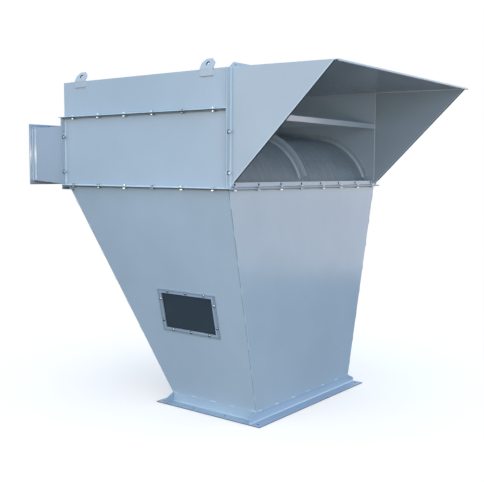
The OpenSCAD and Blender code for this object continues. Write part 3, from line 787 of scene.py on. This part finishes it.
# Painted highlight: most roots take a lighter paint than the panels; those under flanges take the coat with
# its painted shadow
rootSize = {"fold": 0.0035, "joint": 0.0050, "upright": 0.0035, "uprightWide": 3.2, "angle": 0.0065}
for side, word in sides:
    out = (0, side, 0)
    y = side * wallY
    startX, endX = backX + flange, frontX - flange
    for z, where in ((jointZ + flange, "lower"), (midZ + flange, "upper")):
        bm = bmesh.new()
        addRoot(bm, (startX, y, z), (endX, y, z), out, upward, rootSize["joint"])
        finishMesh(f"{where}_fold_root_{word}", bm, paleRootHighlightPaint)
    bm = bmesh.new()
    for x, run, low, high in ((startX, 1, jointZ + flange, midZ - flange),
                              (endX, -1, jointZ + flange, midZ - flange),
                              (endX, -1, midZ + flange, roofLow.z),
                              (frontX + flange, 1, jointZ + flange, roofLow.z)):
        addRoot(bm, (x, y, low), (x, y, high), (run, 0, 0), out, rootSize["upright"], 10,
                rootSize["uprightWide"])
    finishMesh(f"upright_fold_roots_{word}", bm, cornerLitPaint)
    bm = bmesh.new()
    slope = (0, -side * math.sin(wallLean), -math.cos(wallLean))
    yHopper, z = side * (wallY - flange * math.tan(wallLean)), jointZ - flange
    addRoot(bm, (railHigh.x, yHopper, z), (frontX, yHopper, z), out, slope, rootSize["fold"])
    addRoot(bm, (startX, y, midZ - flange), (endX, y, midZ - flange), out, downward, rootSize["fold"])
    finishMesh(f"shadowed_roots_{word}", bm, sheetPaint)
    bm = bmesh.new()
    reach, yFoot, xFoot = footX - angle, side * footY, side * -footX
    addRoot(bm, (-reach, yFoot, angle), (reach, yFoot, angle), out, upward, rootSize["angle"])
    addRoot(bm, (xFoot, endLow.y, angle), (xFoot, endHigh.y, angle), (-side, 0, 0), upward,
            rootSize["angle"])
    finishMesh(f"frame_roots_{word}", bm, footRootHighlightPaint)
bm = bmesh.new()
inner = wallY - wall
for x, z, run, along in ((frontX, jointZ - flange, 1, downward), (frontX, jointZ + flange, 1, upward),
                         (backX, midZ + flange, -1, upward)):
    addRoot(bm, (x, -inner, z), (x, inner, z), (run, 0, 0), along, rootSize["fold"])
finishMesh("fold_roots_across", bm, cornerLitPaint)
print("fold radii laid")


# A strip with a rounded top, bulging along out over a width along side
def addCrown(bm, start, end, side, out, width, proud, steps=8):
    section = [(width * i / steps, proud * math.sin(math.pi * i / steps) ** 0.7) for i in range(1, steps)]
    addPrism(bm, start, end, side, out, section + [(width, -sunk), (0, -sunk)])


# The duct's flange is the outer leg of an angle: its other leg lies on the duct walls. Both legs of the
# upright lengths carry a rounded strip with a painted highlight round one height
ductAngle = {"leg": 0.0360, "thick": 0.0035, "root": 0.0060, "stripAt": 0.0020, "stripWide": 0.0130,
             "edgeAt": 0.0160, "edgeWide": 0.0190, "proud": 0.0016, "flange": 0.025, "short": 0.003}
leg, thick, proud = ductAngle["leg"], ductAngle["thick"], ductAngle["proud"]
mouthX, ductY = ductFlangeHigh.x, ductFlangeHigh.y - ductAngle["flange"]
ductBottom, ductTop = ductFlangeLow.z + ductAngle["flange"], ductFlangeHigh.z - ductAngle["flange"]
stripLow, stripHigh = ductBottom + ductAngle["short"], ductTop - ductAngle["short"]
legs, roots, strips = bmesh.new(), bmesh.new(), bmesh.new()
for side in (-1, 1):
    y, out = side * ductY, (0, side, 0)
    raised = side * (ductY + thick)
    addStrip(legs, (mouthX, y, ductBottom), (mouthX, y, ductTop), (1, 0, 0), out, leg, thick)
    addRoot(roots, (mouthX, raised, ductBottom), (mouthX, raised, ductTop), (1, 0, 0), out,
            ductAngle["root"], 8)
    edgeX = mouthX + ductAngle["edgeAt"]
    addCrown(strips, (edgeX, raised, stripLow), (edgeX, raised, stripHigh), (1, 0, 0), out,
             ductAngle["edgeWide"], proud)
    edge = side * (ductFlangeHigh.y - ductAngle["stripAt"])
    addCrown(strips, (mouthX, edge, stripLow), (mouthX, edge, stripHigh), (0, -side, 0), (1, 0, 0),
             ductAngle["stripWide"], proud)
for z, up in ((ductBottom, -1), (ductTop, 1)):
    addStrip(legs, (mouthX, -ductY, z), (mouthX, ductY, z), (1, 0, 0), (0, 0, up), leg, thick)
    raised = z + up * thick
    addRoot(roots, (mouthX, -ductY, raised), (mouthX, ductY, raised), (1, 0, 0), (0, 0, up),
            ductAngle["root"], 8)
finishMesh("duct_angle_legs", legs, ductPaint)
finishMesh("duct_angle_roots", roots, rootHighlightPaint)
finishMesh("duct_angle_strips", strips, stripHighlightPaint)
print("duct angle laid")

# The hood sides' slanted edges carry a black edging, which also paints the shade along them, and behind it
# the sheet is turned over and pressed flat and painted lighter as a painted highlight. Each takes its low and
# high edge, how far it stands proud and where it starts
hoodTrim = {"hem": (0.0032, 0.0090, 0.0007, 0.010), "edging": (-0.0008, 0.0034, 0.0010, 0.044)}
hoodFall, hemEnd = 0.010, 0.004
hemStart = Vector((frontX, 0, jointZ))
hemRun = Vector((sideHigh.x, 0, sideHigh.z - hoodFall)) - hemStart
inward = Vector((-hemRun.z, 0, hemRun.x)).normalized()
for side, word in sides:
    for part, finish in (("hem", hoodHemHighlightPaint), ("edging", rubber)):
        low, high, proud, start = hoodTrim[part]
        soft = proud * 0.5
        top = wall + proud
        section = [(low, top - soft), (low + soft, top), (high, top), (high, -proud), (low + soft, -proud),
                   (low, soft - proud)]
        rings = []
        for reach in (start, hemRun.length - hemEnd):
            place = hemStart + hemRun.normalized() * reach + Vector((0, side * wallY, 0))
            rings.append([place + inward * a - Vector((0, side * b, 0)) for a, b in section])
        bm = bmesh.new()
        skinRings(bm, rings)
        finishMesh(f"hood_{part}_{word}", bm, finish)
print("hood hems laid")


# Points and outward directions along the screen's curve, from its front end to the casing back
def screenPath(startAngle, backStop, steps=40):
    slope = screenCurve["slope"]
    axis = Vector((screenCurve["axisX"], 0, screenCurve["axisZ"]))
    path = []
    for i in range(steps + 1):
        a = startAngle + (math.pi / 2 - slope - startAngle) * i / steps
        path.append((axis, Vector((math.cos(a), 0, math.sin(a)))))
    last = path[-1][1]
    run = (screenCurve["axisX"] + screenCurve["radius"] * last.x - backStop) / math.cos(slope)
    behind = Vector((-last.z, 0, last.x))  # straight on from the end of the curve
    path.append((axis + behind * run, last))
    return path


# A strip swept along the screen. Its section gives height over the screen and place across
def addSweep(bm, path, section):
    radius = screenCurve["radius"]
    rings = [[tuple(axis + out * (radius + high) + Vector((0, across, 0))) for high, across in section]
             for axis, out in path]
    skinRings(bm, rings)


# Fillet in the corner between the screen and a rib's face
def ribFillet(face, away, radius, steps=6):
    behind, under = face - away * ribLook["filletBehind"], -ribLook["filletUnder"]
    section = [(under, behind), (radius, behind)]
    for i in range(1, steps):
        t = i / steps
        section.append((radius * (1 - t) ** 2, face + away * radius * t ** 2))
    section.append((under, face + away * radius))
    return section


# A rib's edge turned over on itself, from low to high above the screen
def ribHem(face, away, low, high, proud):
    soft = proud * 0.5
    return [(low, face - away * sunk), (high, face - away * sunk), (high, face + away * (proud - soft)),
            (high - soft, face + away * proud), (low + soft, face + away * proud),
            (low, face + away * (proud - soft))]


ribLook = {"endAngle": math.radians(20.5), "sheet": 0.003, "fillet": 0.0100, "wallFillet": 0.0115,
           "filletUnder": 0.0006, "filletBehind": 0.0004, "backStop": 0.016,
           "midHem": (0.0245, 0.0455, 0.0022), "wallHem": (0.0245, 0.0340, 0.0022)}
path = screenPath(ribLook["endAngle"], backX + ribLook["backStop"])
rib = ribLook["sheet"]
for side, word in sides:
    face = side * (wallY - wall - rib)
    roots, hems = bmesh.new(), bmesh.new()
    addSweep(roots, path, ribFillet(face, -side, ribLook["wallFillet"]))
    addSweep(hems, path, ribHem(face, -side, *ribLook["wallHem"]))
    addSweep(roots, path, ribFillet(side * rib, side, ribLook["fillet"]))
    finishMesh(f"rib_roots_{word}", roots, hemHighlightPaint)
    finishMesh(f"rib_hems_{word}", hems, ribPaint)
hems = bmesh.new()
addSweep(hems, path, ribHem(0.0, -1, *ribLook["midHem"]))
finishMesh("rib_hem_middle", hems, hemHighlightPaint)
print("rib fillets and hems swept")

# Sealant run down the inner joint between casing and hood, and along under the roof
beadLook = {"width": 0.0072, "proud": 0.0018, "around": 8, "steps": 60, "start": 0.032, "sunk": 0.0004,
            "roof": 0.0050, "roofShort": 0.006, "backShort": 0.010}
bm = bmesh.new()
startZ = jointZ + beadLook["start"]
for side in (-1, 1):
    place = frameAt((frontX, side * (wallY - wall), startZ), upward, (0, -side, 0))
    rise = roofLow.z - startZ
    rings = []
    for i in range(beadLook["steps"] + 1):
        swell = 1 + 0.10 * math.sin(i * 2.3) + draw.uniform(-0.06, 0.06)
        z = rise * i / beadLook["steps"]
        ring = []
        for k in range(beadLook["around"] + 1):
            a = -math.pi / 2 + math.pi * k / beadLook["around"]
            across = beadLook["width"] / 2 * math.sin(a) * swell
            atEnd = k in (0, beadLook["around"])
            ring.append((-beadLook["sunk"] if atEnd else beadLook["proud"] * math.cos(a) * swell, across, z))
        rings.append(ring)
    skinRings(bm, rings, place)
finishMesh("joint_sealant", bm, paleSeal)
bm = bmesh.new()
short = beadLook["roofShort"]
for side in (-1, 1):
    inside, inward = side * (wallY - wall), (0, -side, 0)
    for startX, startZ, endX, endZ in (
            (frontX + short, sideHigh.z, sideHigh.x - short, sideHigh.z - hoodFall),
            (backX + beadLook["backShort"], roofLow.z, frontX - short, roofLow.z)):
        addRoot(bm, (startX, inside, startZ), (endX, inside, endZ), inward, downward, beadLook["roof"])
finishMesh("roof_sealant", bm, roofSeal)
print("sealant laid")

weldLook = {"length": 0.038, "width": 0.0036, "height": 0.0020, "ripple": 0.0026, "lag": 0.0008,
            "samples": 4, "around": 10, "lugShort": 0.002, "ductFrom": 0.005, "ductTo": 0.335}


# One run of weld, rippled where the pool froze, with rounded ends
def addWeld(bm, start, end, outward):
    start, end = Vector(start), Vector(end)
    run = (end - start).length
    place = frameAt(start, end - start, outward)
    width, ripple = weldLook["width"], weldLook["ripple"]
    count = max(8, int(run / ripple * weldLook["samples"]))
    rings = [[(0, 0, 0)]]
    phase = draw.uniform(0, math.pi)
    for i in range(1, count):
        s = i / count
        taper = min(1.0, s * run / width, (1 - s) * run / width) ** 0.5
        swell = 1 + 0.16 * math.sin(2 * math.pi * s * run / ripple + phase)
        swell += 0.08 * math.sin(9 * s + phase)
        ring = []
        for a in turnsOf(weldLook["around"]):
            lag = weldLook["lag"] * math.cos(a)
            ring.append((weldLook["height"] * math.cos(a) * swell * taper,
                         width * math.sin(a) * taper * (0.9 + 0.1 * swell), s * run + lag * taper))
        rings.append(ring)
    rings.append([(0, 0, run)])
    skinRings(bm, rings, place)


def addStitches(bm, start, end, outward, count, first=0.5, step=1.0):
    start, end = Vector(start), Vector(end)
    along = (end - start).normalized()
    for i in range(count):
        middle = start + (end - start) * ((first + i * step) / count) + along * draw.uniform(-0.004, 0.004)
        half = weldLook["length"] / 2 * draw.uniform(0.88, 1.12)
        addWeld(bm, middle - along * half, middle + along * half, outward)


seamLook = {"radius": 0.0011, "sides": 8, "back": 0.0045, "weldBack": 0.0012}


# A fine dark line where two sheets meet and no weld covers the joint
def addSeam(bm, start, end, outward):
    place = frameAt(Vector(start), Vector(end) - Vector(start), outward)
    run = (Vector(end) - Vector(start)).length
    radius = seamLook["radius"]
    ring = [(radius * 0.55 * math.cos(a), radius * math.sin(a)) for a in turnsOf(seamLook["sides"])]
    skinRings(bm, [[(x, y, z) for x, y in ring] for z in (0, run)], place)


# Numbers of stitches, and for the foot where the first stands and how they are spread
stitches = {"slope": 8, "footSide": (5, 0.16, 1.16), "footEnd": (6, 0.18, 0.99), "ductSide": 3, "ductLong": 9}
welds, cornerWelds, seams = bmesh.new(), bmesh.new(), bmesh.new()
for side in (-1, 1):
    y, topZ = side * footY, jointZ - flange
    back, weldBack = seamLook["back"], seamLook["weldBack"]
    addSeam(seams, (frontX - back, side * wallY, topZ), (footX - back, y, footZ), (0, side, 0))
    addStitches(cornerWelds, (frontX - weldBack, side * wallY, topZ), (footX - weldBack, y, footZ),
                (0.6, side, 0), stitches["slope"])
    corner = (ledgeX, side * (wallY - wall), railLow.z), (-footX, side * (footY - wall), footZ)
    backOut = (-(jointZ - footZ), 0, -(abs(ledgeX) - footX))
    addSeam(seams, *corner, backOut)
    addStitches(welds, *corner, backOut, stitches["slope"])
    addStitches(welds, (-footX, y, footZ), (footX, y, footZ), (0, side, 0), *stitches["footSide"])
    x = side * footX
    addStitches(welds, (x, -footY, footZ), (x, footY, footZ), (side, 0, 0), *stitches["footEnd"])
finishMesh("hopper_welds", welds, weldPaint, 60)
finishMesh("hopper_corner_welds", cornerWelds, cornerLitPaint, 60)
finishMesh("hopper_seams", seams, seamSeal)

# Lug welds: down both sides and along the foot of each lug
welds = bmesh.new()
for low, high in lugs:
    side = 1 if high.y > 0 else -1
    y = side * wallY
    for x, turned in ((low.x, -0.7), (high.x, 0.7)):
        addWeld(welds, (x, y, low.z), (x, y, roofLow.z - weldLook["lugShort"]), (turned, side, 0))
    addWeld(welds, (low.x, y, low.z), (high.x, y, low.z), (0, side, -0.7))
finishMesh("lug_welds", welds, weldPaint, 60)

# Duct welds: stitches to the plate on all four sides
welds = bmesh.new()
plateX = plateLow.x
weldLow, weldHigh = jointZ + weldLook["ductFrom"], jointZ + weldLook["ductTo"]
for side in (-1, 1):
    y = side * wallY
    addStitches(welds, (plateX, y, weldLow), (plateX, y, weldHigh), (-0.7, side, 0), stitches["ductSide"])
for z, up in ((weldLow, -1), (weldHigh, 1)):
    addStitches(welds, (plateX, -wallY, z), (plateX, wallY, z), (-0.7, 0, up), stitches["ductLong"])
finishMesh("duct_welds", welds, weldPaint, 60)
print("welds and seams laid")

# Floor: to look at it is white with a soft shadow near the machine, and plain white beyond.
# The light it throws back is that of a matt grey yard
stageLook = {"floorSeen": (0.78, 0.72, 0.66, 1), "lift": 0.36, "floorBounce": (0.03, 0.03, 0.03, 1),
             "half": 30.0, "drop": 0.0012, "shadowReach": 0.9, "plainBeyond": 2.3, "white": (1, 1, 1, 1)}
bm = bmesh.new()
for x, y in ((-1, -1), (1, -1), (1, 1), (-1, 1)):
    bm.verts.new((x * stageLook["half"], y * stageLook["half"], -stageLook["drop"]))
bm.faces.new(bm.verts)
floorMesh = bpy.data.meshes.new("floor")
bm.to_mesh(floorMesh)
bm.free()
floorMaterial = bpy.data.materials.new("floor")
tree = clearTree(floorMaterial)
seen = addNode(tree, "BsdfDiffuse", {"Color": stageLook["floorSeen"]}).outputs[0]
bounced = addNode(tree, "BsdfDiffuse", {"Color": stageLook["floorBounce"]}).outputs[0]
lift = addNode(tree, "Emission", {"Color": stageLook["white"], "Strength": stageLook["lift"]}).outputs[0]
plain = addNode(tree, "Emission", {"Color": stageLook["white"], "Strength": 1.0}).outputs[0]
lifted = addNode(tree, "AddShader", {0: seen, 1: lift}).outputs[0]
coords = addNode(tree, "TexCoord").outputs["Object"]
distance = addNode(tree, "VectorMath", {0: coords}, operation="LENGTH").outputs["Value"]
fade = {"Value": distance, "From Min": stageLook["shadowReach"], "From Max": stageLook["plainBeyond"]}
away = addNode(tree, "MapRange", fade, interpolation_type="SMOOTHSTEP").outputs["Result"]
faded = addNode(tree, "MixShader", {"Fac": away, 1: lifted, 2: plain}).outputs[0]
rays = addNode(tree, "LightPath").outputs
shown = addNode(tree, "MixShader", {"Fac": rays["Is Camera Ray"], 1: bounced, 2: faded}).outputs[0]
addNode(tree, "OutputMaterial", {"Surface": shown})
floorMesh.materials.append(floorMaterial)
addObject("floor", floorMesh)

# World: an even pale dome, plain white where the camera or a reflection sees it
domeLook = {"Color": (0.774, 1.00, 1.281, 1), "Strength": 0.93}
world = bpy.data.worlds.new("dome")
bpy.context.scene.world = world
tree = clearTree(world)
dome = addNode(tree, "Background", domeLook).outputs[0]
white = addNode(tree, "Background", {"Color": stageLook["white"], "Strength": 1.0}).outputs[0]
rays = addNode(tree, "LightPath").outputs
direct = addMath(tree, "MAXIMUM", rays["Is Camera Ray"], rays["Is Transmission Ray"])
mirrored = addMath(tree, "MAXIMUM", direct, rays["Is Glossy Ray"])
shown = addNode(tree, "MixShader", {"Fac": mirrored, 1: dome, 2: white}).outputs[0]
addNode(tree, "OutputWorld", {"Surface": shown})

# Lamps: each a soft panel aimed at a point on the machine
daylight = (1.0, 0.833, 0.668)
lamps = {
    "corner": {"at": (5.4, -5.6, 2.0), "aim": (0.2, 0.0, 1.2), "size": (3.6, 3.0), "power": 81},
    "wallSide": {"at": (-1.6, -5.4, 2.2), "aim": (0.0, -0.7, 1.4), "size": (3.5, 3.2), "power": 50},
    "high": {"at": (-0.5, -4.2, 5.0), "aim": (0.0, 0.0, 1.2), "size": (4.0, 3.0), "power": 20},
    "low": {"at": (0.8, -5.0, 0.7), "aim": (0.0, 0.0, 1.0), "size": (3.0, 1.2), "power": 38},
    "opening": {"at": (4.2, -2.4, 0.5), "aim": (0.3, 0.0, 1.3), "size": (2.4, 0.9), "power": 58},
    "end": {"at": (2.94, 4.13, 1.3), "aim": (0.3, 0.0, 0.9), "size": (4.0, 2.6), "power": 56,
            "colour": (1.0, 0.847, 0.781)},
}
for name, look in lamps.items():
    light = bpy.data.lights.new(name, "AREA")
    light.shape = "RECTANGLE"
    light.size, light.size_y = look["size"]
    light.energy = look["power"]
    light.color = look.get("colour", daylight)
    lamp = addObject(name, light)
    lamp.location = look["at"]
    lamp.rotation_euler = (Vector(look["aim"]) - Vector(look["at"])).to_track_quat("-Z", "Y").to_euler()

# Camera: a little above the joint, looking along the hood and the near side
view = {"at": (2.6072, -3.6019, 1.3054), "azimuth": -0.6569, "pitch": -0.0920, "roll": 0.0054,
        "lens": 57.183471, "sensor": 36, "clip": (0.05, 200)}
lens = bpy.data.cameras.new("camera")
lens.lens, lens.sensor_width = view["lens"], view["sensor"]
lens.clip_start, lens.clip_end = view["clip"]
camera = addObject("camera", lens)
cosA, sinA = math.cos(view["azimuth"]), math.sin(view["azimuth"])
cosP, sinP = math.cos(view["pitch"]), math.sin(view["pitch"])
cosR, sinR = math.cos(view["roll"]), math.sin(view["roll"])
ahead = Vector((cosP * sinA, cosP * cosA, sinP))
flat = Vector((cosA, -sinA, 0))
over = flat.cross(ahead)
right, over = flat * cosR + over * sinR, over * cosR - flat * sinR
turned = Matrix((right, over, -ahead)).transposed().to_4x4()
camera.matrix_world = Matrix.Translation(view["at"]) @ turned
bpy.context.scene.camera = camera
bpy.context.scene.view_settings.view_transform = "Standard"
print("stage, lamps and camera set")
